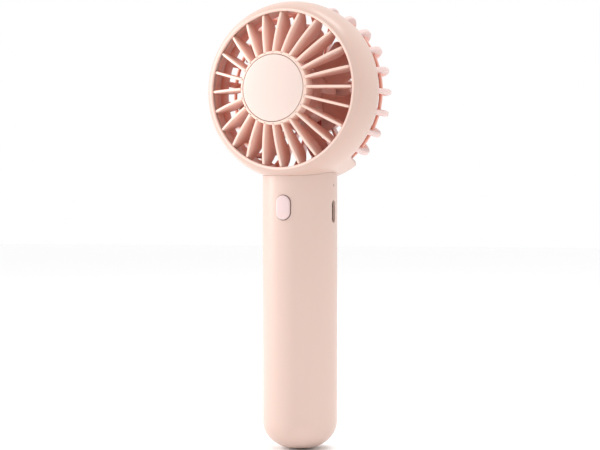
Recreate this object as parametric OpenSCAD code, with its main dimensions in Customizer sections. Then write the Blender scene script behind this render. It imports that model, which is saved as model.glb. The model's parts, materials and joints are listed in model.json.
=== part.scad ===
// Handheld electric fan: round handle, fixed barrel head, two finned grilles, brushless motor.
// Millimetres. Origin at the middle of the handle's lower end, +Z up, -Y is the front.
// Head shapes are drawn on the fan's axis: there, local Z points forward and local Y points up.

/* [Head] */
// Height of the fan's axis above the handle's lower end
head_z = 162.1; // [160:0.5:166]
// Largest outside radius of the barrel
barrel_r = 40.4; // [40:0.1:41]
// Wall of the barrel
barrel_wall = 2.2; // [2:0.1:2.4]
// Radius of the front opening
opening_r = 34.7; // [34:0.1:35]
// Distance from the handle's axis to the front lip
lip_f = 19.85; // [19.5:0.05:20.5]
// Number of fins in the front grille
fin_count = 24; // [20:1:28]
// Number of fins in the rear grille
rear_fin_count = 25; // [23:1:26]
// Thickness of a front fin
front_fin_t = 1.2; // [1:0.1:1.4]
// Thickness of a rear fin's outer lobe
rear_fin_t = 2.6; // [2.2:0.1:2.8]
// Thickness of a rear fin's arm
rear_arm_t = 1.3; // [1:0.1:1.6]

/* [Impeller] */
// Radius at the blade tips
blade_tip_r = 32; // [30:0.1:34.5]
// Number of blades
blade_count = 7; // [5:1:9]
// Angle between a blade and the plane of rotation
blade_pitch = 38; // [34:1:42]
// Width of a blade along its pitch
blade_chord = 16; // [14:0.5:18]

/* [Handle] */
// Outside diameter of the handle
handle_d = 34; // [33.6:0.1:34.4]
// Wall of the handle
handle_wall = 1.8; // [1.6:0.1:2]
// Height of the middle of the power button
button_z = 109.4; // [108:0.2:110]
// How far the power button travels
button_travel = 0.5; // [0.3:0.05:0.6]
// Height of the middle of the charging inlet
usb_z = 107.7; // [107:0.1:108]
// Height of the charging lamp's pinhole
lamp_z = 119.6; // [119:0.1:120]

/* [Battery] */
// Diameter of the lithium cell (18650 size)
cell_d = 18.5; // [18.2:0.1:18.6]
// Length of the lithium cell
cell_len = 65; // [64:0.5:66]

/* [Hidden] */
$fn = 64;
gap = 0.1;
fit = 0.05;
handle_r = handle_d / 2;
handle_ri = handle_r - handle_wall;
dome_h = 12.3;
dome_flat_r = 2.2;
grip_top_z = 100.3;
grip_draft = 0.1;

// Barrel profile, as (radius, forward) from the fan's centre
lip_r = 35.3;
wide_f = 6.5;
rear_f = 1;
rear_edge_r = 39.9;
bore_r = barrel_r - barrel_wall;
lip_back_f = 17.4;
lip_roll = 0.5;

// The front grille's fins and cap lie on one dome
dome_top_f = 29;
dome_r = 66;
hub_r = 16.3;
cap_r = 14.8;
hub_back_f = 20.4;
front_turn = 0;
seam_turn = 5;

// The saddle's rounded back
lobe_r = 35.4;
lobe_y = 10.9;
lobe_size = 5;
saddle_half = 37;
saddle_end = acos((bore_r - lobe_r) / lobe_size);

// The rear grille
fin_end_r = 32.4;
fin_end_y = 8.5;
fin_end_size = 8.5;
neck_r = 38.7;
rear_turn = -0.8;
rear_hub_r = 19;
rear_hub_y = 17.6;
rear_plate_y = 13.2;

// Motor stack, as distances forward of the fan's centre
base_f = -13.2;
base_t = 1.2;
tube_r = 4;
tube_ri = 3;
tube_front_f = 2;
bearing_w = 2.5;
shaft_r = 1;
stator_f = -7.5;
stator_h = 6;
tooth_count = 9;
tooth_tip_r = 9.8;
magnet_ri = 10.3;
magnet_ro = 11.3;
can_r = 12;
can_rear_f = -8.6;
can_front_f = 3.4;
impeller_hub_r = 14;
blade_turn = 27;
screw_ring_r = 7.6;

// Handle inside
cell_z = 15.5;
frame_r = 14.8;
frame_wall = 1.2;
frame_top_z = 116;
board_y = 1.7;
board_t = 1.2;
board_x = [-12, 10];
board_z = [90, 121];
spigot_z = 116.5;
spigot_wall = 2.3;
post_places = [[-9, 95], [7, 95], [-9, 112]];
post_r = 1.9;
neck_screw_x = 8;
neck_screw_y = 8;

// Power button, pill shaped
button_w = 7.1;
button_h = 11.1;
button_gap = 0.2;
button_proud = 0.9;
switch_face_y = -2.4;
plunger_out = 1.5 + button_travel;

// Puts children on the fan's axis, with local Z forward
module on_axis() {
    translate([0, 0, head_z]) rotate([90, 0, 0]) children();
}

// A round tube along local Z
module ring(outer_r, inner_r, low, high) {
    translate([0, 0, low]) difference() {
        cylinder(h = high - low, r = outer_r);
        translate([0, 0, -1]) cylinder(h = high - low + 2, r = inner_r);
    }
}

// A flat plate in the plane of the axis, from an outline of (radius, forward) points
module radial_plate(outline, thickness) {
    rotate([90, 0, 0]) linear_extrude(thickness, center = true) polygon(outline);
}

// Repeats children evenly round the local Z axis
module around(count, turn = 0) {
    for (i = [0:count - 1]) rotate([0, 0, turn + i * 360 / count]) children();
}

// A pill of the given width and height in local X and Y, with straight sides
module pill(width, height, depth) {
    reach = height / 2 - width / 2;
    linear_extrude(depth) union() {
        translate([0, reach]) circle(d = width);
        translate([0, -reach]) circle(d = width);
        square([width, 2 * reach], center = true);
    }
}

// A small screw with its head at the top of local Z
module screw(shank_r, shank_len, head_r, head_h) {
    translate([0, 0, -shank_len]) cylinder(h = shank_len, r = shank_r, $fn = 24);
    difference() {
        cylinder(h = head_h, r = head_r, $fn = 24);
        for (a = [0, 90]) {
            rotate([0, 0, a]) translate([0, 0, head_h])
                cube([head_r * 1.3, 0.3, head_h], center = true);
        }
    }
}

function unit(v) = v / norm(v);

// A round wire through its corner points, swept as one closed tube
module wire(points, radius) {
    sides = 8;
    last = len(points) - 1;
    rings = [for (i = [0:last])
        let (ahead = points[min(i + 1, last)] - points[max(i - 1, 0)])
        let (side = unit(cross(ahead, [1, 0, 0])), lift = unit(cross(side, ahead)))
        for (k = [0:sides - 1])
            points[i] + radius * (cos(k * 360 / sides) * side + sin(k * 360 / sides) * lift)];
    walls = [for (i = [0:last - 1]) for (k = [0:sides - 1])
        let (a = i * sides + k, b = i * sides + (k + 1) % sides)
        each [[a, b, b + sides], [a, b + sides, a + sides]]];
    start_cap = [for (k = [0:sides - 1]) sides - 1 - k];
    end_cap = [for (k = [0:sides - 1]) last * sides + k];
    polyhedron(rings, concat([start_cap], walls, [end_cap]));
}

function grille_dome(r) = dome_top_f - dome_r + sqrt(dome_r * dome_r - r * r);
function ellipse_arc(centre, size, from, to, steps) = [for (i = [0:steps])
    let (t = from + (to - from) * i / steps)
    [centre.x + size.x * cos(t), centre.y + size.y * sin(t)]];
function dome_run(from_r, to_r, steps) = [for (i = [0:steps])
    let (r = from_r + (to_r - from_r) * i / steps) [r, grille_dome(r)]];

function handle_profile(inset) = concat([[0, inset]],
    ellipse_arc([dome_flat_r, dome_h], [handle_r - dome_flat_r - inset, dome_h - inset],
        -90, 0, 16),
    [[handle_r - inset, grip_top_z]],
    [[handle_r - inset - (inset == 0 ? grip_draft : 0), head_z - 30], [0, head_z - 30]]);

// The room the head takes up over the handle, for cutting the handle's top to fit under it
function head_room() = concat(
    [[0, -60], [bore_r + fit, -60]],
    ellipse_arc([lobe_r, -lobe_y], [lobe_size + fit, lobe_size + fit], -saddle_end, 0, 8),
    ellipse_arc([lip_r, wide_f], [barrel_r - lip_r + fit, lip_f - wide_f + fit], 0, 90, 14),
    [[0, lip_f + fit]]);

function barrel_profile() = concat(
    [[bore_r, rear_f], [rear_edge_r - 0.6, rear_f], [rear_edge_r, rear_f + 0.6]],
    ellipse_arc([lip_r, wide_f], [barrel_r - lip_r, lip_f - wide_f], 0, 90, 14),
    ellipse_arc([opening_r + lip_roll, lip_f - lip_roll], [lip_roll, lip_roll], 90, 180, 4),
    [[opening_r, lip_back_f], [bore_r, lip_back_f]]);

// The lower back of the barrel, which runs on over the handle's top
function saddle_profile(grow) = concat(
    [[bore_r - 5 - grow, -wide_f]],
    [[barrel_r + grow, -wide_f]],
    ellipse_arc([lobe_r, lobe_y], [barrel_r - lobe_r + grow, lobe_size + grow], 0, 90, 8),
    [[bore_r - 5 - grow, lobe_y + lobe_size + grow]]);

function front_fin_outline() = concat(
    dome_run(hub_r - 0.6, opening_r - gap, 10),
    [[opening_r - gap, lip_back_f - gap], [opening_r + 0.8, lip_back_f - gap]],
    [[opening_r + 0.8, 14.4], [33.4, 12.2], [31.4, 10.6], [29.2, 10.2], [26.8, 11.3],
        [23.4, 14.3], [20, 17.4]],
    [[hub_r - 0.6, hub_back_f + 0.2]]);

function rear_lobe_outline() = concat(
    [[bore_r - 1.6, rear_plate_y - 18], [bore_r - gap, rear_plate_y - 18]],
    [[bore_r - gap, -rear_f + gap], [neck_r, -rear_f + gap], [neck_r, 1.5]],
    ellipse_arc([fin_end_r, fin_end_y], [fin_end_size, fin_end_size], -28, 92, 16),
    [[fin_end_r - 3, 14.4], [fin_end_r - 2, 11], [bore_r - 1.6, 7]]);

function rear_arm_outline() = [[fin_end_r, 16.6], [25, 17.1],
    [rear_hub_r - 1, rear_hub_y - 0.4], [rear_hub_r - 1, rear_plate_y + 0.3],
    [26, 10.6], [fin_end_r, 9.4]];

module handle_shell() color([0.95, 0.83, 0.79]) difference() {
    rotate_extrude($fn = 96) polygon(handle_profile(0));
    rotate_extrude($fn = 96) polygon(handle_profile(handle_wall));
    on_axis() rotate_extrude($fn = 96) polygon(head_room());
    translate([0, -handle_ri + 3, button_z]) rotate([90, 0, 0])
        pill(button_w + 2 * button_gap, button_h + 2 * button_gap, 10);
    translate([handle_ri - 3, 0, usb_z]) rotate([90, 0, 90]) pill(3.4, 10.3, 10);
    translate([handle_ri - 3, 0, lamp_z]) rotate([0, 90, 0]) cylinder(h = 10, r = 0.8);
}

module saddle() {
    difference() {
        rotate([180, 0, 0]) rotate_extrude($fn = 96) polygon(saddle_profile(0));
        translate([0, 0, -40]) cylinder(h = 80, r = bore_r, $fn = 96);
    }
}

// The sector that holds the saddle, opening downward by an angle each way
module saddle_sector(half_angle) {
    rotate([0, 0, -90]) linear_extrude(60, center = true)
        polygon([[0, 0], [60, -60 * tan(half_angle)], [60, 60 * tan(half_angle)]]);
}

module head_barrel() color([0.94, 0.81, 0.76]) difference() {
    union() {
        on_axis() rotate_extrude($fn = 96) polygon(barrel_profile());
        on_axis() intersection() {
            saddle();
            saddle_sector(saddle_half);
        }
        difference() {
            translate([0, 0, spigot_z]) cylinder(h = 14, r = handle_ri - gap);
            translate([0, 0, spigot_z - 1]) cylinder(h = 30, r = handle_ri - spigot_wall);
            on_axis() translate([0, 0, -60]) cylinder(h = 120, r = bore_r + 0.5, $fn = 96);
        }
        intersection() {
            translate([0, 0, spigot_z]) cylinder(h = 2, r = handle_ri - gap);
            translate([-20, 5, spigot_z]) cube([40, 20, 2]);
        }
    }
    translate([5, -4, spigot_z - 1]) cube([12, 8, 6]);
    translate([4.4, neck_screw_y + 2.6, spigot_z - 5]) cylinder(h = 20, r = 1.9);
    for (s = [-1, 1]) {
        translate([s * neck_screw_x, neck_screw_y, spigot_z - 5]) cylinder(h = 20, r = 1.2);
        translate([s * neck_screw_x, neck_screw_y, spigot_z + 2]) cylinder(h = 20, r = 2.6);
    }
}

module front_grille() color([0.96, 0.80, 0.74]) on_axis() {
    rotate([0, 0, seam_turn]) {
        ring(bore_r - gap, opening_r + 0.4, 11.2, lip_back_f - gap);
        rotate_extrude($fn = 96) polygon(concat(
            [[cap_r + 0.15, hub_back_f], [hub_r, hub_back_f]],
            [[hub_r, grille_dome(hub_r) - 0.3], [hub_r - 0.3, grille_dome(hub_r)]],
            [[cap_r + 0.15, grille_dome(cap_r)]]));
        cylinder_plate(cap_r + 0.4, hub_back_f, hub_back_f + 1.2);
    }
    around(fin_count, front_turn) radial_plate(front_fin_outline(), front_fin_t);
}

// A solid disc between two stations on the axis
module cylinder_plate(radius, low, high) {
    translate([0, 0, low]) cylinder(h = high - low, r = radius);
}

module hub_cap() color([0.98, 0.90, 0.87]) on_axis() rotate_extrude($fn = 96) polygon(concat(
    [[0, hub_back_f + 1.2], [9, hub_back_f + 1.2], [9, 25.4], [cap_r, 25.4]],
    [[cap_r, grille_dome(cap_r) - 0.25]],
    dome_run(cap_r - 0.25, 0, 8)));

module rear_grille() color([0.92, 0.82, 0.80]) on_axis() difference() {
    union() {
        rotate([180, 0, 0]) {
            ring(bore_r - gap, bore_r - 1.6, -8, -rear_f);
            ring(38.2, 36.3, 6.3, 7.5);
            cylinder_plate(rear_hub_r, rear_plate_y, rear_hub_y - 0.8);
            rotate_extrude($fn = 96) polygon([[0, rear_hub_y - 0.8], [rear_hub_r, rear_hub_y - 0.8],
                [rear_hub_r - 0.8, rear_hub_y - 0.1], [rear_hub_r - 5, rear_hub_y + 0.4],
                [0, rear_hub_y + 0.6]]);
            around(rear_fin_count, -rear_turn) {
                radial_plate(rear_lobe_outline(), rear_fin_t);
                radial_plate(rear_arm_outline(), rear_arm_t);
            }
        }
    }
    intersection() {
        difference() {
            rotate([180, 0, 0]) union() {
                rotate_extrude($fn = 96) polygon(saddle_profile(gap));
                ring(barrel_r + 2, barrel_r - 1, -wide_f, lobe_y + lobe_size - 1);
            }
            translate([0, 0, -40]) cylinder(h = 80, r = bore_r - gap, $fn = 96);
        }
        saddle_sector(saddle_half + 0.5);
    }
    around(3, 30) translate([screw_ring_r, 0, -rear_plate_y - 2.4]) cylinder(h = 6, r = 0.8, $fn = 24);
}

// One cambered blade, standing out along local X
module blade() {
    camber_r = 26;
    half = asin(blade_chord / 2 / camber_r);
    thick = 1.1;
    outer = camber_r + thick / 2;
    inner = camber_r - thick / 2;
    back = -camber_r * cos(half / 2);
    outline = concat(
        [for (i = [0:8]) let (t = -half + i * half / 4) [back + outer * cos(t), outer * sin(t)]],
        [for (i = [0:8]) let (t = half - i * half / 4) [back + inner * cos(t), inner * sin(t)]]);
    translate([impeller_hub_r - 1.2, 0, 0]) rotate([90, 0, 90]) rotate([0, 0, blade_pitch - 90])
        linear_extrude(blade_tip_r) polygon(outline);
}

module impeller() color([0.90, 0.76, 0.73]) on_axis() {
    rotate_extrude() polygon(concat(
        [[can_r + 0.05, can_rear_f], [impeller_hub_r, can_rear_f], [impeller_hub_r, 5]],
        ellipse_arc([impeller_hub_r - 6, 5], [6, 5], 0, 90, 6),
        [[0, 10], [0, 5.5], [2, 5.5], [2, can_front_f + 0.05]],
        [[can_r + 0.05, can_front_f + 0.05]]));
    difference() {
        intersection() {
            around(blade_count, blade_turn) blade();
            cylinder_plate(blade_tip_r, -7.6, 7.6);
        }
        translate([0, 0, -9]) cylinder(h = 18, r = impeller_hub_r - 0.8);
    }
}

module rotor_can() color([0.72, 0.73, 0.75]) on_axis() difference() {
    cylinder_plate(can_r, can_rear_f, can_front_f);
    cylinder_plate(magnet_ro + 0.02, can_rear_f - 1, can_front_f - 0.8);
    cylinder_plate(shaft_r + 0.01, can_rear_f, can_front_f + 1);
    around(4, 45) translate([7, 0, 0]) cylinder(h = 10, r = 1.4, $fn = 24);
}

module rotor_magnet() color([0.22, 0.22, 0.24]) on_axis() ring(magnet_ro, magnet_ri, -8, -1);

module motor_shaft() color([0.80, 0.81, 0.83]) on_axis() difference() {
    cylinder_plate(shaft_r, -12.9, can_front_f + 1.2);
    ring(shaft_r + 1, shaft_r - 0.2, -12.7, -12.3);
}

module shaft_clip() color([0.35, 0.36, 0.38]) on_axis() difference() {
    ring(2.3, shaft_r - 0.15, -12.65, -12.35);
    translate([0, -0.45, -13]) cube([3, 0.9, 1]);
}

module ball_bearing(low) {
    difference() {
        cylinder_plate(tube_ri - 0.02, low, low + bearing_w);
        cylinder_plate(shaft_r + 0.03, low - 1, low + bearing_w + 1);
        ring(2.35, 1.65, low + bearing_w - 0.2, low + bearing_w + 1);
        ring(2.35, 1.65, low - 1, low + 0.2);
    }
}

module front_bearing() color([0.70, 0.71, 0.74]) on_axis() ball_bearing(tube_front_f - bearing_w);

module rear_bearing() color([0.70, 0.71, 0.74]) on_axis() ball_bearing(base_f + base_t);

module bearing_tube() color([0.78, 0.64, 0.32]) on_axis()
    ring(tube_r, tube_ri, base_f + base_t, tube_front_f);

module motor_base() color([0.75, 0.76, 0.78]) on_axis() difference() {
    ring(10.6, 2.8, base_f, base_f + base_t);
    around(3, 30) translate([screw_ring_r, 0, base_f - 1]) cylinder(h = 4, r = 0.9, $fn = 24);
}

module stator_core() color([0.45, 0.46, 0.48]) on_axis() {
    ring(5.6, tube_r + 0.02, stator_f, stator_f + stator_h);
    around(tooth_count) translate([5.3, -0.7, stator_f]) cube([3.6, 1.4, stator_h]);
    around(tooth_count) translate([8.8, -2.3, stator_f]) cube([tooth_tip_r - 8.8, 4.6, stator_h]);
}

module stator_windings() color([0.74, 0.42, 0.20]) on_axis() around(tooth_count) difference() {
    translate([5.75, -1.55, stator_f - 1]) cube([2.9, 3.1, stator_h + 2]);
    translate([5.5, -0.72, stator_f - 0.02]) cube([4, 1.44, stator_h + 0.04]);
}

module motor_board() color([0.12, 0.38, 0.24]) on_axis() difference() {
    ring(10.4, tube_r + 0.1, -10.6, -9.8);
    around(3, 30) translate([screw_ring_r, 0, -12]) cylinder(h = 4, r = 1.6, $fn = 24);
}

module motor_screws() color([0.62, 0.63, 0.66]) on_axis() around(3, 30)
    translate([screw_ring_r, 0, base_f + base_t]) screw(0.75, 3, 1.4, 0.9);

module neck_screws() color([0.62, 0.63, 0.66]) for (s = [-1, 1])
    translate([s * neck_screw_x, neck_screw_y, spigot_z + 2]) screw(1, 9, 2, 1.3);

module inner_frame() color([0.88, 0.87, 0.85]) difference() {
    union() {
        difference() {
            translate([0, 0, 13.6]) cylinder(h = frame_top_z - 13.6, r = frame_r);
            translate([0, 0, 12]) cylinder(h = frame_top_z, r = frame_r - frame_wall);
            translate([-20, -35, 10]) cube([40, 40, 120]);
        }
        for (z = [13.6, 83]) translate([0, 0, z]) cylinder(h = 1.4, r = frame_r - 0.3);
        for (z = [28, 48, 68]) difference() {
            translate([0, 0, z]) cylinder(h = 1.6, r = frame_r - 0.3);
            translate([-20, -40, z - 1]) cube([40, 40, 4]);
        }
        intersection() {
            for (p = post_places) translate([p.x, board_y + board_t, p.y]) rotate([-90, 0, 0])
                cylinder(h = frame_r - board_y - board_t, r = post_r, $fn = 32);
            cylinder(h = frame_top_z, r = frame_r - 0.3);
        }
        for (s = [-1, 1]) translate([s * neck_screw_x, neck_screw_y, 103])
            cylinder(h = frame_top_z - 103 + 0.5, r = 2.4, $fn = 32);
    }
    translate([0, 0, cell_z]) cylinder(h = cell_len, d = cell_d + 0.3);
    translate([-3, -16, 82]) cube([6, 6, 4]);
    translate([-9, 4, 82]) cube([18, 3.2, 4]);
    for (p = post_places) translate([p.x, board_y, p.y]) rotate([-90, 0, 0])
        cylinder(h = 6, r = 0.75, $fn = 24);
    for (s = [-1, 1]) translate([s * neck_screw_x, neck_screw_y, 106])
        cylinder(h = 20, r = 1.02, $fn = 24);
}

module battery_cell() color([0.30, 0.52, 0.66]) translate([0, 0, cell_z]) rotate_extrude()
    polygon([[0, 0.3], [7.5, 0.3], [8.2, 0], [cell_d / 2 - 0.3, 0], [cell_d / 2, 0.3],
        [cell_d / 2, cell_len - 1.3], [cell_d / 2 - 0.4, cell_len - 0.9], [6, cell_len - 0.9],
        [6, cell_len - 1.4], [3.6, cell_len - 1.4], [3.2, cell_len], [0, cell_len]]);

module battery_tabs() color([0.80, 0.80, 0.78]) {
    translate([-2.5, -4, cell_z + cell_len]) cube([5, 9.6, 0.2]);
    translate([-2.5, 5.4, cell_z + cell_len]) cube([5, 0.2, 4.6]);
    translate([-2.5, -11.3, cell_z - 0.3]) cube([5, 14, 0.2]);
    translate([-2.5, -11.3, cell_z - 0.3]) cube([5, 0.2, cell_len + 6]);
}

module battery_foam() color([0.20, 0.20, 0.21]) translate([-5, -12.9, 34]) cube([10, 1.5, 32]);

module main_board() color([0.10, 0.36, 0.22]) difference() {
    translate([board_x[0], board_y, board_z[0]])
        cube([board_x[1] - board_x[0], board_t, board_z[1] - board_z[0]]);
    for (p = post_places) translate([p.x, board_y - 1, p.y]) rotate([-90, 0, 0])
        cylinder(h = 4, r = 1, $fn = 24);
}

module board_chips() color([0.10, 0.10, 0.11]) {
    translate([-8, board_y - 1.5, 98]) cube([5, 1.5, 4.4]);
    translate([-10.5, board_y - 1.2, 105]) cube([3, 1.2, 3]);
    translate([-6, board_y - 1.1, 116]) cube([3, 1.1, 1.6]);
    translate([-1, board_y - 0.8, 116.4]) cube([1.6, 0.8, 0.8]);
}

module board_inductor() color([0.28, 0.28, 0.30]) difference() {
    translate([-0.6, board_y - 2.8, 93]) cube([5.2, 2.8, 5.2]);
    translate([2, board_y - 2.3, 95.6]) rotate([90, 0, 0]) cylinder(h = 2, r = 1.9);
}

module board_screws() color([0.62, 0.63, 0.66]) for (p = post_places)
    translate([p.x, board_y, p.y]) rotate([90, 0, 0]) screw(0.72, 5, 1.5, 0.8);

module usb_shell() color([0.78, 0.79, 0.81]) difference() {
    translate([8.5, 0, usb_z]) rotate([90, 0, 90]) pill(3.16, 8.94, 7.2);
    translate([9.5, 0, usb_z]) rotate([90, 0, 90]) pill(2.56, 8.34, 8);
}

module usb_tongue() color([0.08, 0.08, 0.09]) translate([9.5, -0.35, usb_z - 3.35])
    cube([5, 0.7, 6.7]);

module tact_switch() color([0.16, 0.16, 0.17]) difference() {
    translate([-3, switch_face_y, button_z - 3]) cube([6, board_y - switch_face_y, 6]);
    translate([0, 1, button_z]) rotate([90, 0, 0]) cylinder(h = 6, r = 1.8);
}

module switch_plunger() color([0.85, 0.84, 0.80]) translate([0, 0.3, button_z]) rotate([90, 0, 0])
    cylinder(h = 0.3 - switch_face_y + plunger_out, r = 1.7);

module button_cap() color([0.96, 0.86, 0.85]) {
    intersection() {
        translate([0, -handle_ri + 1.2, button_z]) rotate([90, 0, 0]) pill(button_w, button_h, 6);
        translate([0, 0, button_z - 8]) cylinder(h = 16, r = handle_r + button_proud, $fn = 128);
    }
    translate([0, switch_face_y - plunger_out - gap, button_z]) rotate([90, 0, 0])
        cylinder(h = handle_ri - 0.8 + switch_face_y - plunger_out - gap + 0.5, r = 1.6);
    translate([0, -handle_ri + 1.4, button_z]) rotate([90, 0, 0])
        pill(button_w + 1.6, button_h + 1.6, 0.5);
}

module charge_lamp() color([0.95, 0.95, 0.90]) translate([8.1, board_y - 1.3, lamp_z - 0.8])
    cube([1.7, 1.3, 1.6]);

module light_pipe() color([0.90, 0.92, 0.94]) translate([10.1, 0, lamp_z]) rotate([0, 90, 0])
    cylinder(h = handle_r - 0.15 - 10.1, r = 0.75);

module motor_wires() color([0.75, 0.12, 0.10]) for (x = [3.8, 4.9]) wire([
    [x, 10.6, head_z - 8.4], [x, 11, head_z - 8.4], [x, 11.3, head_z - 9],
    [x, 11.3, head_z - 14], [x, 11.3, spigot_z + 6], [x, 10.2, spigot_z], [x, 5.2, 112.6],
    [x, 4.2, 112], [x, board_y + board_t, 112]], 0.5);

module battery_wires() color([0.08, 0.08, 0.09]) {
    wire([[0, 5.6, 84.6], [0, 6.6, 84.6], [2.5, 7.2, 87.5], [5.4, 5.6, 91], [5.4, 4.2, 92.5],
        [5.4, board_y + board_t, 92.5]], 0.5);
    wire([[0, -11.1, 85.6], [0, -10, 85.6], [-3.5, -6, 88.5], [-3.5, 0, 92.4],
        [-3.5, board_y, 92.4]], 0.5);
}

handle_shell();
head_barrel();
front_grille();
hub_cap();
rear_grille();
impeller();
rotor_can();
rotor_magnet();
motor_shaft();
shaft_clip();
front_bearing();
rear_bearing();
bearing_tube();
motor_base();
stator_core();
stator_windings();
motor_board();
motor_screws();
neck_screws();
inner_frame();
battery_cell();
battery_tabs();
battery_foam();
main_board();
board_chips();
board_inductor();
board_screws();
usb_shell();
usb_tongue();
tact_switch();
switch_plunger();
button_cap();
charge_lamp();
light_pipe();
motor_wires();
battery_wires();
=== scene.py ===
"""Looks of the handheld fan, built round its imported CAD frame. Metres, +Z up, -Y is the front."""

import json
import math

import bmesh
import bpy
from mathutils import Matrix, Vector


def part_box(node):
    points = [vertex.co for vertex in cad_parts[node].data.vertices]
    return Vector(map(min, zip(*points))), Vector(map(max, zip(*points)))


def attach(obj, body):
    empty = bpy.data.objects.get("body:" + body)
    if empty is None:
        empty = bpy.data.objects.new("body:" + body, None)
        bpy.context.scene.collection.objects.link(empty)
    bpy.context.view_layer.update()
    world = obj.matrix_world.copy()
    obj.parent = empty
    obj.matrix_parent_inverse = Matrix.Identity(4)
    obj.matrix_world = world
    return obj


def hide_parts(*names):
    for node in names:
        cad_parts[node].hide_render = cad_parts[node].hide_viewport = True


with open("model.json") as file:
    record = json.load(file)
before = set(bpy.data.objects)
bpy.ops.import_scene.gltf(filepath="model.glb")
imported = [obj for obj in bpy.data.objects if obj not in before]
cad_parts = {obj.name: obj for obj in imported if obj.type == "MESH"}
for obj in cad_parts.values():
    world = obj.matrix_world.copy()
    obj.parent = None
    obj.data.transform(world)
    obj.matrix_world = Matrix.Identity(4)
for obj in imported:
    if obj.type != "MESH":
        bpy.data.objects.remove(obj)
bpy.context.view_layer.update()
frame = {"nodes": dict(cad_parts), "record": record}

MM = 0.001
ROUND_STEPS = 192

# ---------------------------------------------------------------- sizes from the frame

_, handle_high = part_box("handle_shell")
barrel_low, barrel_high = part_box("head_barrel")
cap_low, cap_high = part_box("hub_cap")
button_low, button_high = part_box("button_cap")
usb_low, usb_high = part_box("usb_shell")
pipe_low, pipe_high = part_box("light_pipe")
blades_low, blades_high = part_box("impeller")

# The handle
HANDLE_R = handle_high.x
HANDLE_WALL = 1.8 * MM
HANDLE_FLAT_R = 2.2 * MM
HANDLE_DOME_H = 12.3 * MM
HEAD_FIT = 0.05 * MM
BUTTON_Z = (button_low.z + button_high.z) / 2
USB_Z = (usb_low.z + usb_high.z) / 2
LAMP_Z = (pipe_low.z + pipe_high.z) / 2
USB_SLOT_W = 3.4 * MM
USB_SLOT_H = 10.3 * MM
LAMP_HOLE = 1.3 * MM

# The button
BUTTON_W = 7.1 * MM
BUTTON_H = 11.1 * MM
BUTTON_GAP = 0.2 * MM
BUTTON_PROUD = 0.9 * MM
BUTTON_EDGE = 0.7 * MM
BUTTON_BACK_Y = -13.9 * MM

# The barrel, as radius from the fan's axis and distance forward of its centre
HEAD_Z = (blades_low.z + blades_high.z) / 2
BARREL_R = barrel_high.x
WALL = 2.2 * MM
BORE_R = BARREL_R - WALL
OPENING_R = 34.7 * MM
LIP_R = 35.3 * MM
LIP_F = -barrel_low.y
LIP_BACK_F = 17.4 * MM
LIP_ROLL = 0.6 * MM
WIDE_F = 6.5 * MM
REAR_F = 1.0 * MM
REAR_EDGE_R = 39.9 * MM
REAR_EDGE_ROUND = 0.9 * MM

# The saddle, where the barrel runs back over the handle
LOBE_R = 35.4 * MM
LOBE_Y = 10.9 * MM
LOBE_SIZE = 5.0 * MM
SADDLE_END = 42
SADDLE_BLEND = 9

# The front grille and its cap
CAP_R = cap_high.x
CAP_TOP_F = -cap_low.y
CAP_SEAM = 0.22 * MM
DOME_R = 66.0 * MM
HUB_R = 16.3 * MM
HUB_BACK_F = 20.4 * MM
FLOOR_T = 1.2 * MM
RIM_BACK_F = 11.2 * MM
RIM_FRONT_F = 17.3 * MM
FIN_COUNT = 24
FIN_T = 1.2 * MM
FIN_EDGE = 0.42 * MM
FRONT_TURN = 0.0

# The rear grille
INSERT_R = BORE_R - 0.1 * MM
REAR_FIN_COUNT = 25
FIN_END_R = 32.4 * MM
FIN_END_Y = 8.5 * MM
FIN_END_SIZE = 8.5 * MM
LOBE_T = 2.6 * MM
LOBE_EDGE = 0.9 * MM
ARM_T = 1.3 * MM
ARM_EDGE = 0.45 * MM
NECK_R = 38.7 * MM
REAR_TURN = math.radians(-0.8)

# The impeller
BLADE_R = blades_high.x
BLADE_COUNT = 7
BLADE_TURN = math.radians(27)
BLADE_SWEEP = math.radians(8)
BLADE_DEPTH = 15.0 * MM
BLADE_PITCH = 50
BLADE_UNTWIST = 16
BLADE_CHORD = 14.5 * MM
BLADE_WIDENING = 3.0 * MM
BLADE_CAMBER = 0.09
BLADE_HALF_T = 0.62 * MM
BLADE_THINNING = 0.2 * MM
TIP_START = 0.86
TIP_SPAN = 0.145
IMPELLER_HUB_R = 14.0 * MM
BLADE_ROOT_R = IMPELLER_HUB_R - 0.6 * MM
CAN_SEAT_R = 12.05 * MM


# ---------------------------------------------------------------- mesh helpers

def on_axis(radius, angle, forward, across=0.0):
    """A point given round the fan's axis: radius, angle up from +X, distance forward, offset across."""
    c = math.cos(angle)
    s = math.sin(angle)
    return Vector((radius * c - across * s, -forward, HEAD_Z + radius * s + across * c))


def add_mesh(name, verts, faces, smooth=True):
    """One mesh object from points and faces, with its normals made to point outward."""
    mesh = bpy.data.meshes.new(name)
    mesh.from_pydata([tuple(v) for v in verts], [], faces)
    mesh.update()
    bm = bmesh.new()
    bm.from_mesh(mesh)
    bmesh.ops.remove_doubles(bm, verts=bm.verts, dist=1e-7)
    bmesh.ops.recalc_face_normals(bm, faces=bm.faces)
    bm.to_mesh(mesh)
    bm.free()
    for polygon in mesh.polygons:
        polygon.use_smooth = smooth
    obj = bpy.data.objects.new(name, mesh)
    bpy.context.scene.collection.objects.link(obj)
    return obj


def grid_faces(rows, columns, close_rows, close_columns):
    """Quads of a grid whose points are stored row by row."""
    faces = []
    for i in range(rows if close_rows else rows - 1):
        for j in range(columns if close_columns else columns - 1):
            a = i * columns + j
            b = i * columns + (j + 1) % columns
            c = ((i + 1) % rows) * columns + (j + 1) % columns
            d = ((i + 1) % rows) * columns + j
            faces.append((a, b, c, d))
    return faces


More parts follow.
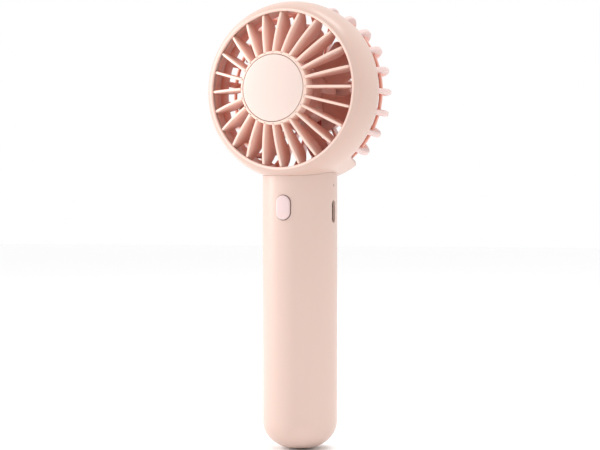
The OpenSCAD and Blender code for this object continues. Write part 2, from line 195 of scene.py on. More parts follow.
def arc(centre, size, start, end, steps):
    """Points along part of an ellipse; the angles are in degrees."""
    points = []
    for i in range(steps + 1):
        t = math.radians(start + (end - start) * i / steps)
        points.append((centre[0] + size[0] * math.cos(t), centre[1] + size[1] * math.sin(t)))
    return points


def lathe_axis(name, profile):
    """A closed (radius, forward) outline turned round the fan's axis."""
    verts = []
    for i in range(ROUND_STEPS):
        angle = 2 * math.pi * i / ROUND_STEPS
        verts += [on_axis(r, angle, f) for r, f in profile]
    return add_mesh(name, verts, grid_faces(ROUND_STEPS, len(profile), True, True))


def join(name, parts):
    """Joins mesh objects into the first one."""
    bpy.ops.object.select_all(action="DESELECT")
    for part in parts:
        part.select_set(True)
    bpy.context.view_layer.objects.active = parts[0]
    bpy.ops.object.join()
    parts[0].name = name
    return parts[0]


def apply_modifiers(obj):
    """Turns an object's modifiers into its mesh."""
    graph = bpy.context.evaluated_depsgraph_get()
    mesh = bpy.data.meshes.new_from_object(obj.evaluated_get(graph))
    obj.modifiers.clear()
    obj.data = mesh


def cut(obj, cutters):
    """Takes the cutters' volume out of an object, then removes the cutters."""
    for cutter in cutters:
        mod = obj.modifiers.new("cut", "BOOLEAN")
        mod.operation = "DIFFERENCE"
        mod.solver = "EXACT"
        mod.object = cutter
    apply_modifiers(obj)
    for cutter in cutters:
        bpy.data.objects.remove(cutter)
    return obj


def soften(obj, width):
    """Rounds an object's sharp edges a little and evens out its shading."""
    bevel = obj.modifiers.new("round", "BEVEL")
    bevel.width = width
    bevel.segments = 3
    bevel.limit_method = "ANGLE"
    bevel.angle_limit = math.radians(35)
    bevel.use_clamp_overlap = True
    normals = obj.modifiers.new("normals", "WEIGHTED_NORMAL")
    normals.keep_sharp = True
    normals.weight = 80


# ---------------------------------------------------------------- barrel

def smooth_step(x):
    """A smooth rise from 0 to 1 as x goes from 0 to 1."""
    x = min(1.0, max(0.0, x))
    return x * x * (3 - 2 * x)


def saddle_share(angle):
    """How far the barrel's rear edge runs back over the handle, from 0 to 1, at an angle."""
    off_bottom = abs((math.degrees(angle) + 90 + 180) % 360 - 180)
    return smooth_step((SADDLE_END - off_bottom) / SADDLE_BLEND)


def barrel_outline(share):
    """The barrel's closed (radius, forward) outline where the saddle has the given share."""
    edge_r = REAR_EDGE_R + share * (BARREL_R - REAR_EDGE_R)
    edge_y = -REAR_F + share * (LOBE_Y + LOBE_SIZE + REAR_F)
    corner = REAR_EDGE_ROUND + share * (LOBE_SIZE - REAR_EDGE_ROUND)
    bend = (BORE_R + 0.2 * MM - edge_r + corner) / corner
    bend = min(85.0, math.degrees(math.acos(max(-1.0, min(1.0, bend)))))
    outer = arc((LIP_R, WIDE_F), (BARREL_R - LIP_R, LIP_F - WIDE_F), 88, 0, 20)
    points = [(OPENING_R, LIP_BACK_F)]
    points += arc((OPENING_R + LIP_ROLL, LIP_F - LIP_ROLL), (LIP_ROLL, LIP_ROLL), 180, 95, 5)
    points += outer
    span = outer[-1][1] + edge_y - corner
    side_steps = 8
    for i in range(1, side_steps + 1):
        t = i / side_steps
        points.append((BARREL_R + (edge_r - BARREL_R) * t * t, outer[-1][1] - span * t))
    points += arc((edge_r - corner, -edge_y + corner), (corner, corner), 0, -bend, 7)[1:]
    back_y = -points[-1][1]
    points.append((BORE_R, -back_y + 0.25 * MM))
    bore_steps = 6
    for i in range(1, bore_steps + 1):
        points.append((BORE_R, -back_y + (LIP_BACK_F + back_y) * i / bore_steps))
    return points


def make_barrel():
    """The head's shell, with the saddle over the handle."""
    verts = []
    segments = 288
    for i in range(segments):
        angle = 2 * math.pi * i / segments
        outline = barrel_outline(saddle_share(angle))
        verts += [on_axis(r, angle, f) for r, f in outline]
    return add_mesh("barrel_skin", verts, grid_faces(segments, len(outline), True, True))


# ---------------------------------------------------------------- front grille and cap

def dome(radius):
    """How far forward the grille's dome stands at a radius."""
    return CAP_TOP_F - DOME_R + math.sqrt(DOME_R ** 2 - radius ** 2)


def rounded_plate(outline, thickness, edge, angle):
    """A flat plate in the plane of the fan's axis, with rounded edges, as points and faces."""
    count = len(outline)
    half = thickness / 2
    after = outline[1:] + outline[:1]
    area = sum(a[0] * b[1] - b[0] * a[1] for a, b in zip(outline, after))
    turn = 1 if area > 0 else -1
    inward = []
    for i in range(count):
        ahead = Vector(outline[(i + 1) % count]) - Vector(outline[i])
        behind = Vector(outline[i]) - Vector(outline[i - 1])
        normal = Vector((-ahead.y, ahead.x)).normalized() + Vector((-behind.y, behind.x)).normalized()
        inward.append(normal.normalized() * turn)
    rings = []
    for degrees in (0, 30, 60, 90):
        t = math.radians(degrees)
        rings.append((edge * (1 - math.sin(t)), half - edge * (1 - math.cos(t))))
    levels = rings + [(inset, -height) for inset, height in reversed(rings)]
    verts = []
    for inset, height in levels:
        for i in range(count):
            r = outline[i][0] + inward[i].x * inset
            f = outline[i][1] + inward[i].y * inset
            verts.append(on_axis(r, angle, f, height))
    faces = grid_faces(len(levels), count, False, True)
    faces.append(tuple(range(count)))
    last = (len(levels) - 1) * count
    faces.append(tuple(last + count - 1 - i for i in range(count)))
    return verts, faces


def fin_set(name, outline_at, count, thickness, edge, turn):
    """All the fins of one grille as one mesh."""
    verts = []
    faces = []
    for i in range(count):
        angle = turn + 2 * math.pi * i / count
        fin_verts, fin_faces = rounded_plate(outline_at(angle), thickness, edge, angle)
        start = len(verts)
        verts += fin_verts
        faces += [tuple(start + k for k in face) for face in fin_faces]
    return add_mesh(name, verts, faces)


def spline(points, steps):
    """A smooth curve through the points, as more points."""
    curve = []
    for i in range(len(points) - 1):
        before = Vector(points[max(i - 1, 0)])
        a = Vector(points[i])
        b = Vector(points[i + 1])
        after = Vector(points[min(i + 2, len(points) - 1)])
        for k in range(steps):
            t = k / steps
            p = 0.5 * (2 * a + (b - before) * t + (2 * before - 5 * a + 4 * b - after) * t ** 2
                       + (3 * a - before - 3 * b + after) * t ** 3)
            curve.append((p.x, p.y))
    curve.append(tuple(points[-1]))
    return curve


def front_fin(_):
    """Outline of a front fin, the same at every angle: the dome in front, a belly behind."""
    inner = HUB_R - 0.6 * MM
    outer = OPENING_R - 0.05 * MM
    rim = OPENING_R + 0.9 * MM
    rim_back = 14.5 * MM
    hub_back = 20.6 * MM
    steps = 22
    points = []
    for i in range(steps + 1):
        r = inner + (outer - inner) * i / steps
        points.append((r, dome(r)))
    points += [(outer, 17.25 * MM), (rim, 17.2 * MM), (rim, rim_back)]
    belly = [(33.5, 12.3), (31.4, 10.8), (29.2, 10.3), (26.8, 11.4), (23.4, 14.4), (20.0, 17.5)]
    back = [(rim, rim_back)] + [(r * MM, f * MM) for r, f in belly] + [(inner, hub_back)]
    return points + spline(back, 4)[1:]


def make_front_grille():
    """Rim ring, fins, hub ring and the floor behind the cap."""
    rim_in = OPENING_R + 0.4 * MM
    rim = lathe_axis("grille_rim", [(rim_in, RIM_BACK_F), (INSERT_R, RIM_BACK_F),
                                    (INSERT_R, RIM_FRONT_F), (rim_in, RIM_FRONT_F)])
    hub_in = CAP_R + CAP_SEAM
    top = dome(HUB_R)
    outer_round = 0.5 * MM
    inner_round = 0.35 * MM
    profile = [(hub_in, HUB_BACK_F), (HUB_R, HUB_BACK_F), (HUB_R, top - outer_round)]
    profile += arc((HUB_R - outer_round, top - outer_round), (outer_round, outer_round), 20, 80, 4)
    profile += arc((hub_in + inner_round, dome(hub_in) - inner_round), (inner_round, inner_round),
                   100, 180, 4)
    ring = lathe_axis("grille_hub", profile)
    floor_r = CAP_R + 0.4 * MM
    floor_top = HUB_BACK_F + FLOOR_T
    plate = lathe_axis("grille_floor", [(0.0, HUB_BACK_F), (floor_r, HUB_BACK_F), (floor_r, floor_top),
                                        (0.0, floor_top)])
    fins = fin_set("grille_fins", front_fin, FIN_COUNT, FIN_T, FIN_EDGE, FRONT_TURN)
    return join("front_grille_skin", [fins, rim, ring, plate])


def make_cap():
    """The smooth cap in the middle of the front grille, with a boss behind it."""
    edge = 0.5 * MM
    boss_r = 9 * MM
    boss_back = HUB_BACK_F + 1.25 * MM
    skirt_back = 25.2 * MM
    top = dome(CAP_R)
    profile = [(0.0, boss_back), (boss_r, boss_back), (boss_r, skirt_back), (CAP_R, skirt_back),
               (CAP_R, top - edge)]
    profile += arc((CAP_R - edge, top - edge + 0.1 * MM), (edge, edge), 10, 70, 4)
    steps = 20
    for i in range(steps + 1):
        r = (CAP_R - edge) * (1 - i / steps)
        profile.append((r, dome(r)))
    return lathe_axis("hub_cap_skin", profile)


# ---------------------------------------------------------------- rear grille

def in_mm(points):
    """(radius, behind) pairs in millimetres, as (radius, forward) pairs in metres."""
    return [(r * MM, -y * MM) for r, y in points]


def rear_lobe(angle):
    """Outline of a rear fin's outer part: a neck at the barrel and a rounded lobe behind it."""
    front_f = 4.8 * MM
    points = [(36.6 * MM, front_f), (INSERT_R, front_f)]
    clear_of_saddle = saddle_share(angle) < 0.02
    if clear_of_saddle:
        neck_f = REAR_F - 0.1 * MM
        points += [(INSERT_R, neck_f), (NECK_R, neck_f), (NECK_R, -1.5 * MM)]
        end = arc((FIN_END_R, FIN_END_Y), (FIN_END_SIZE, FIN_END_SIZE), -28, 92, 26)
        points += [(r, -y) for r, y in end]
    else:
        points += [(INSERT_R, -14.4 * MM)] + in_mm([(37.4, 15.1), (35.6, 15.9), (33.4, 16.6)])
    return points + in_mm([(29.6, 14.4), (30.4, 11.0), (33.0, 9.4), (36.0, 7.2), (36.6, 6.0)])


def rear_arm(_):
    """Outline of a rear fin's inner part, the same at every angle: the arm from lobe to hub."""
    back = [(32.4, 16.6), (29.0, 16.9), (25.0, 17.1), (18.0, 17.2)]
    front = [(18.0, 13.5), (22.0, 11.9), (26.0, 10.6), (29.5, 9.9), (32.4, 9.4)]
    return in_mm(back + front)


def make_rear_grille():
    """Insert ring, the thin ring that ties the fins, the fins, and the hub plate."""
    insert_in = INSERT_R - 1.5 * MM
    insert_front = 8 * MM
    insert = lathe_axis("rear_insert", [(insert_in, insert_front), (INSERT_R, insert_front),
                                        (INSERT_R, REAR_F), (insert_in, REAR_F)])
    ring = lathe_axis("rear_ring", arc((37.25 * MM, -6.9 * MM), (0.9 * MM, 0.6 * MM), 0, 330, 11))
    plate = lathe_axis("rear_plate", in_mm([
        (0.0, 13.2), (18.8, 13.2), (19.0, 13.4), (19.0, 16.6), (18.8, 17.1), (18.2, 17.5),
        (14.0, 17.95), (7.0, 18.1), (0.0, 18.2)]))
    lobes = fin_set("rear_lobes", rear_lobe, REAR_FIN_COUNT, LOBE_T, LOBE_EDGE, REAR_TURN)
    arms = fin_set("rear_arms", rear_arm, REAR_FIN_COUNT, ARM_T, ARM_EDGE, REAR_TURN)
    return join("rear_grille_skin", [lobes, arms, insert, ring, plate])


# ---------------------------------------------------------------- impeller

def blade_section(t, base):
    """The closed outline of a blade's section, at a share t of the way from the hub to the tip."""
    around = 24
    r = BLADE_ROOT_R + (BLADE_R - BLADE_ROOT_R) * t
    pitch = math.radians(BLADE_PITCH - BLADE_UNTWIST * t)
    chord = BLADE_CHORD + BLADE_WIDENING * math.sin(math.pi / 2 * min(1.0, t * 1.1))
    if t > TIP_START:
        chord *= math.sqrt(max(0.02, 1 - 0.75 * ((t - TIP_START) / TIP_SPAN) ** 2))
    chord = min(chord, BLADE_DEPTH / math.sin(pitch))
    points = []
    for k in range(around):
        a = 2 * math.pi * k / around
        side = 1 if math.sin(a) >= 0 else -1
        along = 0.5 * math.cos(a) * chord
        off = BLADE_CAMBER * chord * math.sin(a) ** 2
        off += side * (BLADE_HALF_T - BLADE_THINNING * t) * abs(math.sin(a)) ** 0.6
        forward = along * math.sin(pitch) + off * math.cos(pitch)
        sideways = along * math.cos(pitch) - off * math.sin(pitch)
        points.append(on_axis(r, base + BLADE_SWEEP * t * t + sideways / r, forward))
    return points


def make_impeller():
    """The hub over the motor and its twisted blades."""
    hub_back = -8.6 * MM
    hub_edge = 0.3 * MM
    nose_start = 5 * MM
    nose_round = 6 * MM
    nose_front = 10 * MM
    shaft_r = 2 * MM
    shaft_end = 5.5 * MM
    seat_f = 3.45 * MM
    profile = [(CAN_SEAT_R, hub_back), (IMPELLER_HUB_R - hub_edge, hub_back),
               (IMPELLER_HUB_R, hub_back + hub_edge), (IMPELLER_HUB_R, nose_start)]
    profile += arc((IMPELLER_HUB_R - nose_round, nose_start), (nose_round, nose_front - nose_start),
                   8, 90, 12)
    profile += [(0.0, nose_front), (0.0, shaft_end), (shaft_r, shaft_end), (shaft_r, seat_f),
                (CAN_SEAT_R, seat_f)]
    parts = [lathe_axis("impeller_hub", profile)]
    stations = 16
    for b in range(BLADE_COUNT):
        base = BLADE_TURN + 2 * math.pi * b / BLADE_COUNT
        sections = [blade_section(i / stations, base) for i in range(stations + 1)]
        count = len(sections[0])
        verts = [point for section in sections for point in section]
        faces = grid_faces(stations + 1, count, False, True)
        faces.append(tuple(range(count)))
        faces.append(tuple(stations * count + count - 1 - k for k in range(count)))
        parts.append(add_mesh(f"blade_{b}", verts, faces))
    return join("impeller_skin", parts)


# ---------------------------------------------------------------- handle

def head_radius(y):
    """Outside radius of the head over the handle, at a distance behind the handle's axis."""
    if -y > WIDE_F:
        reach = min(1.0, (-y - WIDE_F) / (LIP_F - WIDE_F))
        return LIP_R + (BARREL_R - LIP_R) * math.sqrt(1 - reach ** 2)
    if y > LOBE_Y:
        reach = min(1.0, (y - LOBE_Y) / LOBE_SIZE)
        return max(BORE_R, LOBE_R + LOBE_SIZE * math.sqrt(1 - reach ** 2))
    return BARREL_R


def handle_top(x, y):
    """Height of the handle's top edge, where it meets the head."""
    return HEAD_Z - math.sqrt((head_radius(y) + HEAD_FIT) ** 2 - x * x)


def pill_cutter(name, width, height, centre, direction, depth):
    """A pill-shaped prism along a level direction, for cutting."""
    up = Vector((0, 0, 1))
    half = width / 2
    reach = height / 2 - half
    outline = []
    steps = 48
    for i in range(steps):
        a = 2 * math.pi * i / steps
        upper = i == 0 or math.sin(a) > 1e-9
        shift = reach if upper else -reach
        outline.append((half * math.cos(a), half * math.sin(a) + shift))
    side = up.cross(direction)
    verts = []
    for d in (-depth / 2, depth / 2):
        for a, b in outline:
            verts.append(centre + direction * d + side * a + up * b)
    count = len(outline)
    faces = grid_faces(2, count, False, True)
    faces.append(tuple(range(count)))
    faces.append(tuple(2 * count - 1 - i for i in range(count)))
    return add_mesh(name, verts, faces, smooth=False)


def handle_column(angle):
    """The handle's wall at one angle, as points from its bottom up the outside and down the inside."""
    c = math.cos(angle)
    s = math.sin(angle)
    pole_r = 0.0001 * MM
    inner_r = HANDLE_R - HANDLE_WALL
    rise_steps = 24
    outer_top = handle_top(HANDLE_R * c, HANDLE_R * s) - HANDLE_DOME_H
    inner_top = handle_top(inner_r * c, inner_r * s) - HANDLE_DOME_H
    outer_size = (HANDLE_R - HANDLE_FLAT_R, HANDLE_DOME_H)
    inner_size = (inner_r - HANDLE_FLAT_R, HANDLE_DOME_H - HANDLE_WALL)
    outer_low = arc((HANDLE_FLAT_R, HANDLE_DOME_H), outer_size, -90, 0, 24)
    inner_low = arc((HANDLE_FLAT_R, HANDLE_DOME_H), inner_size, -90, 0, 16)
    column = [(pole_r, 0.0)] + outer_low
    for k in range(1, rise_steps + 1):
        column.append((HANDLE_R, HANDLE_DOME_H + outer_top * k / rise_steps))
    for k in range(rise_steps, 0, -1):
        column.append((inner_r, HANDLE_DOME_H + inner_top * k / rise_steps))
    column += list(reversed(inner_low)) + [(pole_r, HANDLE_WALL)]
    return [Vector((r * c, r * s, z)) for r, z in column]


def make_handle():
    """The handle's tube, cut to fit under the head, with its three openings."""
    verts = []
    for i in range(ROUND_STEPS):
        verts += handle_column(2 * math.pi * i / ROUND_STEPS)
    count = len(verts) // ROUND_STEPS
    obj = add_mesh("handle_skin", verts, grid_faces(ROUND_STEPS, count, True, False))
    bm = bmesh.new()
    bm.from_mesh(obj.data)
    bmesh.ops.remove_doubles(bm, verts=bm.verts, dist=0.001 * MM)
    bmesh.ops.recalc_face_normals(bm, faces=bm.faces)
    bm.to_mesh(obj.data)
    bm.free()
    front = Vector((0, -1, 0))
    right = Vector((1, 0, 0))
    button_place = Vector((0, -HANDLE_R, BUTTON_Z))
    usb_place = Vector((HANDLE_R, 0, USB_Z))
    lamp_place = Vector((HANDLE_R, 0, LAMP_Z))
    cutters = [
        pill_cutter("button_cut", BUTTON_W + 2 * BUTTON_GAP, BUTTON_H + 2 * BUTTON_GAP,
                    button_place, front, 10 * MM),
        pill_cutter("usb_cut", USB_SLOT_W, USB_SLOT_H, usb_place, right, 6 * MM),
        pill_cutter("lamp_cut", LAMP_HOLE, LAMP_HOLE + 0.001 * MM, lamp_place, right, 6 * MM)]
    return cut(obj, cutters)


# ---------------------------------------------------------------- button

def button_ring(inset, depth_at):
    """One ring of points round the button, drawn in by an inset, at a depth given for each x."""
    count = 96
    half = BUTTON_W / 2
    reach = BUTTON_H / 2 - half
    points = []
    for i in range(count):
        a = 2 * math.pi * (i + 0.5) / count
        shift = reach if math.sin(a) > 0 else -reach
        x = (half - inset) * math.cos(a)
        z = (half - inset) * math.sin(a) + shift
        points.append(Vector((x, depth_at(x), BUTTON_Z + z)))
    return points


def button_face(x):
    """Where the button's curved face stands, at a distance sideways from its middle."""
    return -math.sqrt((HANDLE_R + BUTTON_PROUD) ** 2 - x * x)


def make_button():
    """The power button: straight sides, a rounded edge, and a face curved like the handle."""
    half = BUTTON_W / 2
    side_y = button_face(half) + BUTTON_EDGE
    rings = [button_ring(0, lambda x: BUTTON_BACK_Y), button_ring(0, lambda x: side_y)]
    for degrees in (15, 30, 45, 60, 75, 90):
        a = math.radians(degrees)
        inset = BUTTON_EDGE * (1 - math.cos(a))
        drop = BUTTON_EDGE * (1 - math.sin(a))
        rings.append(button_ring(inset, lambda x, drop=drop: button_face(x) + drop))
    for share in (0.35, 0.5, 0.65, 0.8, 0.92, 0.98):
        rings.append(button_ring(half * share, button_face))
    verts = [p for one in rings for p in one]
    count = len(rings[0])
    faces = grid_faces(len(rings), count, False, True)
    faces.append(tuple(range(count)))
    last = (len(rings) - 1) * count
    faces.append(tuple(last + count - 1 - i for i in range(count)))
    return add_mesh("button_skin", verts, faces)


# ---------------------------------------------------------------- materials

def calculate(tree, operation, a, b=0.0):
    """One math node; each input is a number or another node's output."""
    node = tree.nodes.new("ShaderNodeMath")
    node.operation = operation
    for slot, value in zip(node.inputs, (a, b)):
        if isinstance(value, (int, float)):
            slot.default_value = value
        else:
            tree.links.new(value, slot)
    return node.outputs["Value"]


def ramp(tree, value, low, high):
    """A smooth rise from 0 to 1 as a value goes from low to high."""
    node = tree.nodes.new("ShaderNodeMapRange")
    node.interpolation_type = "SMOOTHSTEP"
    node.inputs["From Min"].default_value = low
    node.inputs["From Max"].default_value = high
    tree.links.new(value, node.inputs["Value"])
    return node.outputs["Result"]


def fall(tree, value, low, high):
    """A smooth fall from 1 to 0 as a value goes from low to high."""
    return calculate(tree, "SUBTRACT", 1.0, ramp(tree, value, low, high))


def length(tree, a, b):
    """The length of the diagonal over two sides."""
    squares = [calculate(tree, "MULTIPLY", side, side) for side in (a, b)]
    return calculate(tree, "SQRT", calculate(tree, "ADD", *squares))


def head_places(tree, where):
    """The radius from the fan's axis, and the distance behind its centre, of a surface point."""
    split = tree.nodes.new("ShaderNodeSeparateXYZ")
    tree.links.new(where.outputs["Object"], split.inputs["Vector"])
    up = calculate(tree, "SUBTRACT", split.outputs["Z"], HEAD_Z)
    return length(tree, split.outputs["X"], up), split.outputs["Y"]


def grille_painted_shade_mask(tree, where):
    """Painted shade: from 0 at the front grille's dome to 1 well behind it, where the fins are painted
    a deeper red for the shade between them.
    """
    radius, behind = head_places(tree, where)
    drop = calculate(tree, "DIVIDE", calculate(tree, "POWER", radius, 2.0), 2 * DOME_R)
    depth = calculate(tree, "SUBTRACT", calculate(tree, "ADD", behind, CAP_TOP_F), drop)
    return ramp(tree, depth, 0.4 * MM, 7 * MM)


def barrel_painted_shade_mask(tree, where):
    """Painted shade: 1 on the barrel's inner wall, which is painted a deep red for the shade inside the
    head, and 0 on the outside and the lip.
    """
    radius, behind = head_places(tree, where)
    inside = fall(tree, radius, 38.3 * MM, 38.7 * MM)
    return calculate(tree, "MULTIPLY", inside, ramp(tree, behind, -18 * MM, -14 * MM))


def lip_painted_highlight_mask(tree, where):
    """Painted highlight: 1 on the barrel's front edge round the opening, which is painted paler for the
    bright rim that the light draws there.
    """
    radius, behind = head_places(tree, where)
    near = fall(tree, radius, 35.5 * MM, 36.1 * MM)
    front = fall(tree, behind, -19.2 * MM, -18.6 * MM)
    return calculate(tree, "MULTIPLY", near, front)


def rear_painted_shade_mask(tree, where):
    """Painted shade: 1 on the rear grille's inner side, painted a deep red for the shade inside the
    head and in the groove by the barrel, and 0 on its lobes and its back.
    """
    radius, behind = head_places(tree, where)
    inside = fall(tree, radius, 37.2 * MM, 38.9 * MM)
    front = fall(tree, behind, 10 * MM, 16 * MM)
    return calculate(tree, "MULTIPLY", inside, front)


def button_painted_shade_mask(tree, where):
    """Painted shade: 0 on the button's face and 1 on its sides, which are painted dark brown for the
    shade round the button's edge.
    """
    split = tree.nodes.new("ShaderNodeSeparateXYZ")
    tree.links.new(where.outputs["Object"], split.inputs["Vector"])
    return fall(tree, length(tree, split.outputs["X"], split.outputs["Y"]), 17.3 * MM, 17.8 * MM)


def plastic(name, color, deep, roughness, grain=0.35, subsurface=0.12, painted_light_and_shade=()):
    """Satin moulded plastic: fine spark texture, slight colour drift and uneven gloss.

    Each tint paints shade or a highlight: a function that gives its strength over the surface, and its
    colour.
    """
    mat = bpy.data.materials.new(name)
    mat.use_nodes = True
    nodes = mat.node_tree.nodes
    links = mat.node_tree.links
    shader = nodes["Principled BSDF"]
    shader.inputs["IOR"].default_value = 1.5
    shader.inputs["Subsurface Weight"].default_value = subsurface
    shader.inputs["Subsurface Radius"].default_value = (1.0, 0.45, 0.32)
    shader.inputs["Subsurface Scale"].default_value = 0.0015
    where = nodes.new("ShaderNodeTexCoord")
    drift = nodes.new("ShaderNodeTexNoise")
    drift.inputs["Scale"].default_value = 22
    drift.inputs["Detail"].default_value = 3
    mix = nodes.new("ShaderNodeMix")
    mix.data_type = "RGBA"
    mix.inputs["A"].default_value = (*color, 1)
    mix.inputs["B"].default_value = (*deep, 1)
    spread = nodes.new("ShaderNodeMapRange")
    spread.inputs["From Min"].default_value = 0.35
    spread.inputs["From Max"].default_value = 0.75
    spread.inputs["To Min"].default_value = 0.0
    spread.inputs["To Max"].default_value = 0.3
    spark = nodes.new("ShaderNodeTexNoise")
    spark.inputs["Scale"].default_value = 2600
    spark.inputs["Detail"].default_value = 2
    gloss = nodes.new("ShaderNodeMapRange")
    gloss.inputs["To Min"].default_value = roughness - 0.05
    gloss.inputs["To Max"].default_value = roughness + 0.07
    bump = nodes.new("ShaderNodeBump")
    bump.inputs["Strength"].default_value = grain
    bump.inputs["Distance"].default_value = 0.00002
    links.new(where.outputs["Object"], drift.inputs["Vector"])
    links.new(where.outputs["Object"], spark.inputs["Vector"])
    links.new(drift.outputs["Fac"], spread.inputs["Value"])
    links.new(spread.outputs["Result"], mix.inputs["Factor"])
    color_out = mix.outputs["Result"]
    # Painted shade and highlights laid over the base colour, one mix for each
    for strength, tint in painted_light_and_shade:
        shade = nodes.new("ShaderNodeMix")
        shade.data_type = "RGBA"
        shade.inputs["B"].default_value = (*tint, 1)
        links.new(strength(mat.node_tree, where), shade.inputs["Factor"])
        links.new(color_out, shade.inputs["A"])
        color_out = shade.outputs["Result"]
    links.new(color_out, shader.inputs["Base Color"])
    links.new(drift.outputs["Fac"], gloss.inputs["Value"])
    links.new(gloss.outputs["Result"], shader.inputs["Roughness"])
    links.new(spark.outputs["Fac"], bump.inputs["Height"])
    links.new(bump.outputs["Normal"], shader.inputs["Normal"])
    return mat


def metal(name, color, roughness, scale=900, stretch=(1, 1, 1)):
    """Drawn or turned metal with fine streaks in its gloss."""
    mat = bpy.data.materials.new(name)
    mat.use_nodes = True
    nodes = mat.node_tree.nodes
    links = mat.node_tree.links
    shader = nodes["Principled BSDF"]
    shader.inputs["Metallic"].default_value = 1.0
    where = nodes.new("ShaderNodeTexCoord")
    place = nodes.new("ShaderNodeMapping")
    place.inputs["Scale"].default_value = stretch
    streak = nodes.new("ShaderNodeTexNoise")
    streak.inputs["Scale"].default_value = scale
    streak.inputs["Detail"].default_value = 4
    gloss = nodes.new("ShaderNodeMapRange")
    gloss.inputs["To Min"].default_value = roughness - 0.08
    gloss.inputs["To Max"].default_value = roughness + 0.12
    tint = nodes.new("ShaderNodeMix")
    tint.data_type = "RGBA"
    tint.inputs["A"].default_value = (*color, 1)
    tint.inputs["B"].default_value = (*[c * 0.8 for c in color], 1)
    links.new(where.outputs["Object"], place.inputs["Vector"])
    links.new(place.outputs["Vector"], streak.inputs["Vector"])
    links.new(streak.outputs["Fac"], gloss.inputs["Value"])
    links.new(streak.outputs["Fac"], tint.inputs["Factor"])
    links.new(gloss.outputs["Result"], shader.inputs["Roughness"])
    links.new(tint.outputs["Result"], shader.inputs["Base Color"])
    return mat


def paint(obj, mat):
    """Gives an object one material."""
    obj.data.materials.clear()
    obj.data.materials.append(mat)


# Colours of the moulded shell, and of the shade and highlights painted on it, in the scene's linear
# red, green and blue
PALE = (0.64, 0.47, 0.408)
PALE_DRIFT = (0.625, 0.455, 0.393)
BARREL = (0.61, 0.435, 0.37)
BARREL_DRIFT = (0.595, 0.42, 0.355)
# Painted shade: the deep red laid on the inner walls of the barrel and the rear grille
INNER_PAINTED_SHADE = (0.86, 0.37, 0.27)
# Painted highlight: the pale rim round the barrel's opening
LIP_PAINTED_HIGHLIGHT = (0.86, 0.63, 0.55)
# Painted shade: the deeper red on the front fins behind the dome
GRILLE_PAINTED_SHADE = (0.80, 0.42, 0.33)
# Painted shade: the dark brown on the button's sides
BUTTON_PAINTED_SHADE = (0.27, 0.17, 0.15)
HANDLE_ROUNDING = 0.12 * MM

pink = plastic("shell_pink", PALE, PALE_DRIFT, 0.34)
pink_barrel = plastic("barrel_pink", BARREL, BARREL_DRIFT, 0.33,
                      painted_light_and_shade=((barrel_painted_shade_mask, INNER_PAINTED_SHADE), (lip_painted_highlight_mask, LIP_PAINTED_HIGHLIGHT)))
pink_grille = plastic("grille_pink", (0.86, 0.62, 0.53), (0.84, 0.60, 0.51), 0.42,
                      painted_light_and_shade=((grille_painted_shade_mask, GRILLE_PAINTED_SHADE),))
pink_cap = plastic("cap_pink", (0.76, 0.61, 0.555), (0.74, 0.59, 0.535), 0.34)
pink_rear = plastic("rear_pink", (0.72, 0.55, 0.52), (0.70, 0.53, 0.50), 0.42,
                    painted_light_and_shade=((rear_painted_shade_mask, INNER_PAINTED_SHADE),))
# The impeller is the shell's pink plastic, painted darker and redder for the shade inside the head
blades_pink_painted_shade = plastic("impeller_pink_painted_shade", (0.60, 0.27, 0.21), (0.56, 0.24, 0.18), 0.4)
pink_button = plastic("button_pink", (0.70, 0.54, 0.53), (0.68, 0.52, 0.51), 0.34,
                      painted_light_and_shade=((button_painted_shade_mask, BUTTON_PAINTED_SHADE),))

# The looks of the inner parts, by the record's material slot
CAD_FINISH = {
    "steel": metal("steel", (0.62, 0.63, 0.65), 0.3),
    "magnet": plastic("magnet_black", (0.03, 0.03, 0.033), (0.05, 0.05, 0.055), 0.6, subsurface=0),
    "brass": metal("brass", (0.72, 0.52, 0.22), 0.28),
    "aluminium": metal("aluminium", (0.7, 0.71, 0.73), 0.35),
    "lamination": metal("lamination", (0.25, 0.26, 0.28), 0.45, 1500, (1, 12, 1)),
    "copper": metal("copper", (0.70, 0.28, 0.12), 0.3, 700, (1, 14, 1)),
    "board": plastic("solder_mask", (0.012, 0.09, 0.035), (0.008, 0.06, 0.025), 0.3, subsurface=0),
    "chip": plastic("chip_black", (0.012, 0.012, 0.013), (0.02, 0.02, 0.021), 0.55, subsurface=0),
    "ferrite": plastic("ferrite_grey", (0.05, 0.05, 0.053), (0.08, 0.08, 0.083), 0.7, subsurface=0),
    "screw": metal("screw_zinc", (0.5, 0.51, 0.53), 0.32),
    "frame": plastic("frame_white", (0.68, 0.67, 0.63), (0.64, 0.62, 0.58), 0.5),
    "cell": plastic("cell_sleeve", (0.03, 0.13, 0.24), (0.025, 0.11, 0.2), 0.25, subsurface=0),
    "nickel": metal("nickel", (0.62, 0.6, 0.56), 0.25),
    "foam": plastic("foam_black", (0.02, 0.02, 0.021), (0.035, 0.035, 0.036), 0.95, 1.0, 0),
    "inlet": metal("inlet_steel", (0.17, 0.145, 0.14), 0.35),
    "dark_plastic": plastic("dark_plastic", (0.01, 0.01, 0.011), (0.018, 0.018, 0.019), 0.45,
                            subsurface=0),
    "plunger": plastic("plunger_ivory", (0.62, 0.59, 0.5), (0.58, 0.55, 0.46), 0.45),
    "lamp": plastic("lamp_epoxy", (0.8, 0.8, 0.72), (0.76, 0.76, 0.68), 0.15),
    "clear": plastic("light_pipe_clear", (0.45, 0.36, 0.33), (0.4, 0.32, 0.3), 0.15),
    "red_wire": plastic("wire_red", (0.40, 0.012, 0.01), (0.35, 0.01, 0.008), 0.4, subsurface=0),
    "black_wire": plastic("wire_black", (0.01, 0.01, 0.011), (0.016, 0.016, 0.017), 0.4, subsurface=0),
}


# ---------------------------------------------------------------- assembly

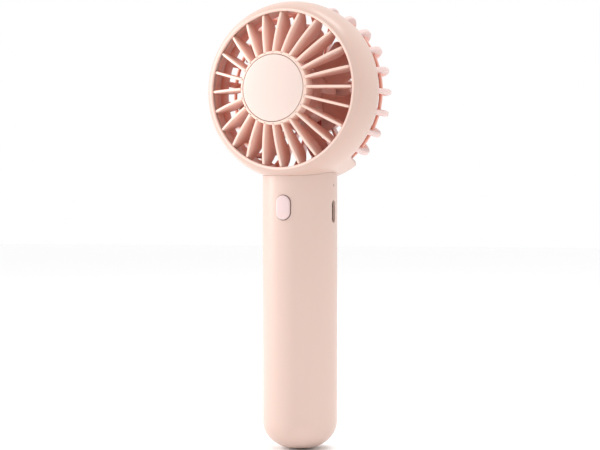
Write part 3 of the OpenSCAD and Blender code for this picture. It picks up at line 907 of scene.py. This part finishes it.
# Each skin with its body, the CAD node that it replaces, its slot, its material and its rounding
skins = [
    (make_handle(), "housing", "handle_shell", "shell", pink, HANDLE_ROUNDING),
    (make_barrel(), "housing", "head_barrel", "shell", pink_barrel, 0),
    (make_front_grille(), "housing", "front_grille", "front_grille", pink_grille, 0),
    (make_cap(), "housing", "hub_cap", "cap", pink_cap, 0),
    (make_rear_grille(), "housing", "rear_grille", "rear_grille", pink_rear, 0),
    (make_impeller(), "rotor", "impeller", "impeller", blades_pink_painted_shade, 0),
    (make_button(), "button", "button_cap", "button", pink_button, 0),
]
for obj, body, node, slot, mat, rounding in skins:
    paint(obj, mat)
    if rounding:
        soften(obj, rounding)
    else:
        normals = obj.modifiers.new("normals", "WEIGHTED_NORMAL")
        normals.keep_sharp = True
    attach(obj, body)
    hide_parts(node)

slots = {part["node"]: part["material_slot"] for part in frame["record"]["subparts"]}
shown = {node for _, _, node, _, _, _ in skins}
for node, obj in frame["nodes"].items():
    if node not in shown:
        paint(obj, CAD_FINISH[slots[node]])


# ---------------------------------------------------------------- camera, floor and light

# Metres, except the scale in pixels per metre at the fan's axis, and the sensor in millimetres
AZIMUTH = math.radians(26.3)
DISTANCE = 0.7
EYE_Z = 0.1016
SCALE = 2.19 / MM
SENSOR = 36.0
WIDTH_PX = 600

camera_data = bpy.data.cameras.new("camera")
camera = bpy.data.objects.new("camera", camera_data)
bpy.context.scene.collection.objects.link(camera)
camera.location = (DISTANCE * math.sin(AZIMUTH), -DISTANCE * math.cos(AZIMUTH), EYE_Z)
camera.rotation_euler = (math.radians(90), 0, AZIMUTH)
camera_data.sensor_width = SENSOR
camera_data.lens = SENSOR * SCALE * DISTANCE / WIDTH_PX
camera_data.clip_start = 0.01
bpy.context.scene.camera = camera


def studio_white(name, value):
    """Plain pale paper, faintly uneven."""
    mat = bpy.data.materials.new(name)
    mat.use_nodes = True
    nodes = mat.node_tree.nodes
    shader = nodes["Principled BSDF"]
    shader.inputs["Roughness"].default_value = 0.9
    shader.inputs["Specular IOR Level"].default_value = 0.1
    noise = nodes.new("ShaderNodeTexNoise")
    noise.inputs["Scale"].default_value = 3
    mix = nodes.new("ShaderNodeMix")
    mix.data_type = "RGBA"
    mix.inputs["A"].default_value = (value, value, value, 1)
    mix.inputs["B"].default_value = (value * 0.98, value * 0.98, value * 0.98, 1)
    mat.node_tree.links.new(noise.outputs["Fac"], mix.inputs["Factor"])
    mat.node_tree.links.new(mix.outputs["Result"], shader.inputs["Base Color"])
    return mat


FLOOR_HALF = 6
FLOOR_Z = -0.2 * MM
corners = [(-FLOOR_HALF, -FLOOR_HALF), (FLOOR_HALF, -FLOOR_HALF), (FLOOR_HALF, FLOOR_HALF),
           (-FLOOR_HALF, FLOOR_HALF)]
floor = add_mesh("floor", [(x, y, FLOOR_Z) for x, y in corners], [(0, 1, 2, 3)], smooth=False)
paint(floor, studio_white("paper_white", 0.985))


def softbox(name, place, target, size, watts):
    """A rectangular soft light aimed at a point."""
    data = bpy.data.lights.new(name, "AREA")
    data.shape = "RECTANGLE"
    data.size = size[0]
    data.size_y = size[1]
    data.energy = watts
    lamp = bpy.data.objects.new(name, data)
    bpy.context.scene.collection.objects.link(lamp)
    lamp.location = place
    aim = Vector(target) - Vector(place)
    lamp.rotation_euler = aim.to_track_quat("-Z", "Y").to_euler()


# A tall light on the left draws the long highlight; a small one overhead fills in
middle = (0, 0, HEAD_Z * 0.6)
softbox("key_light", (-1.14, -0.35, 0.6), middle, (0.24, 0.9), 11.0)
softbox("top_light", (0.25, 0.1, 1.1), middle, (0.5, 0.5), 4.0)

world = bpy.data.worlds.new("studio")
world.use_nodes = True
world.node_tree.nodes["Background"].inputs["Color"].default_value = (1, 1, 1, 1)
world.node_tree.nodes["Background"].inputs["Strength"].default_value = 1.0
bpy.context.scene.world = world
bpy.context.scene.view_settings.view_transform = "Standard"
